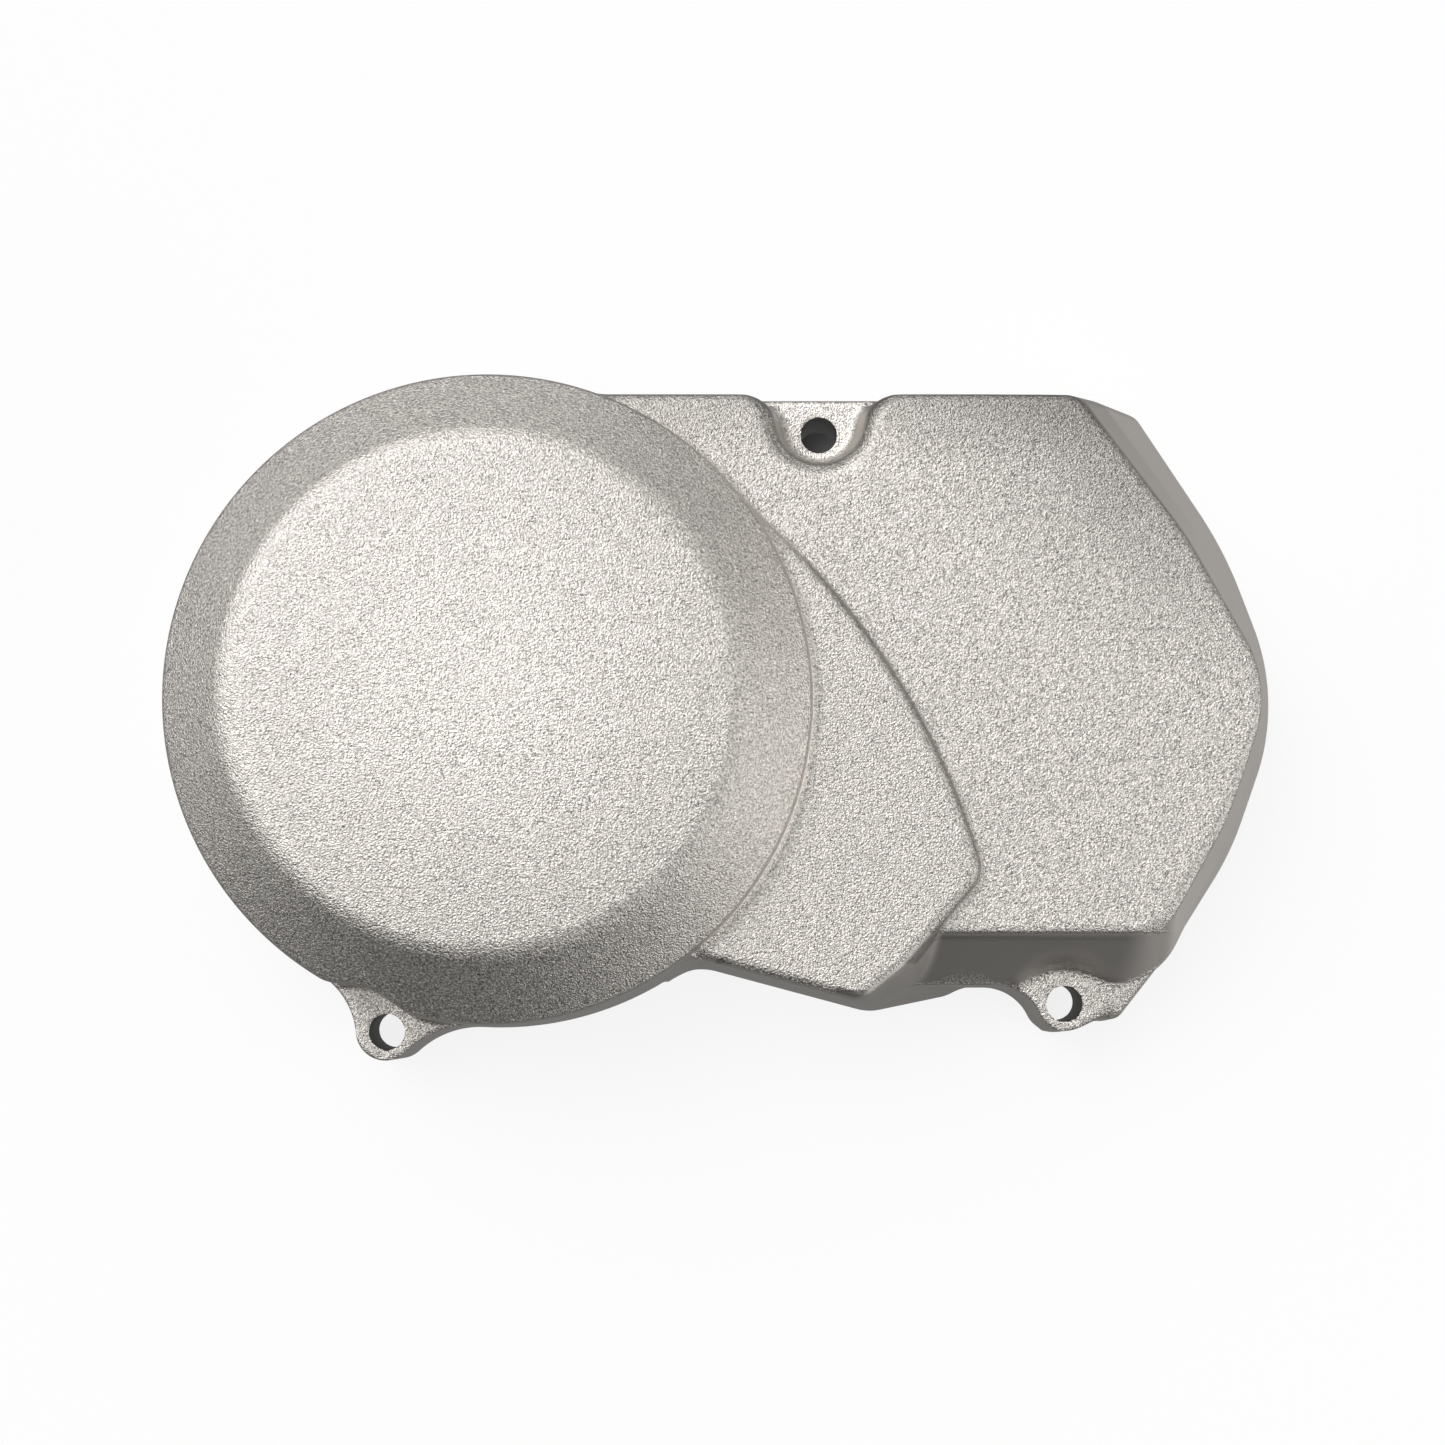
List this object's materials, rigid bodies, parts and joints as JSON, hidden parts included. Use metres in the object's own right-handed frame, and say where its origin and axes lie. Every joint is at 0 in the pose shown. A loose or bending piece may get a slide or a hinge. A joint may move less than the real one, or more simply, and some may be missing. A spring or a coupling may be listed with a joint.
{
  "type": "motorcycle sprocket cover",
  "caption": "Die-cast aluminium side cover for a small engine: a bevelled round drum over the flywheel and a flat bay with a raised shield over the front sprocket.",
  "frame": {"origin": "centre of the part's box on the plane of the mating rim", "axes": "+X from the flywheel drum to the nose of the sprocket bay, +Y to the straight top edge, +Z out of the engine through the outer face"},
  "size_m": [0.2168, 0.1322, 0.0495],
  "materials": {
    "cast_aluminium": "bare casting, blasted to an even satin grain"
  },
  "bodies": {
    "root": {"cover": "cast_aluminium"}
  },
  "joints": []
}
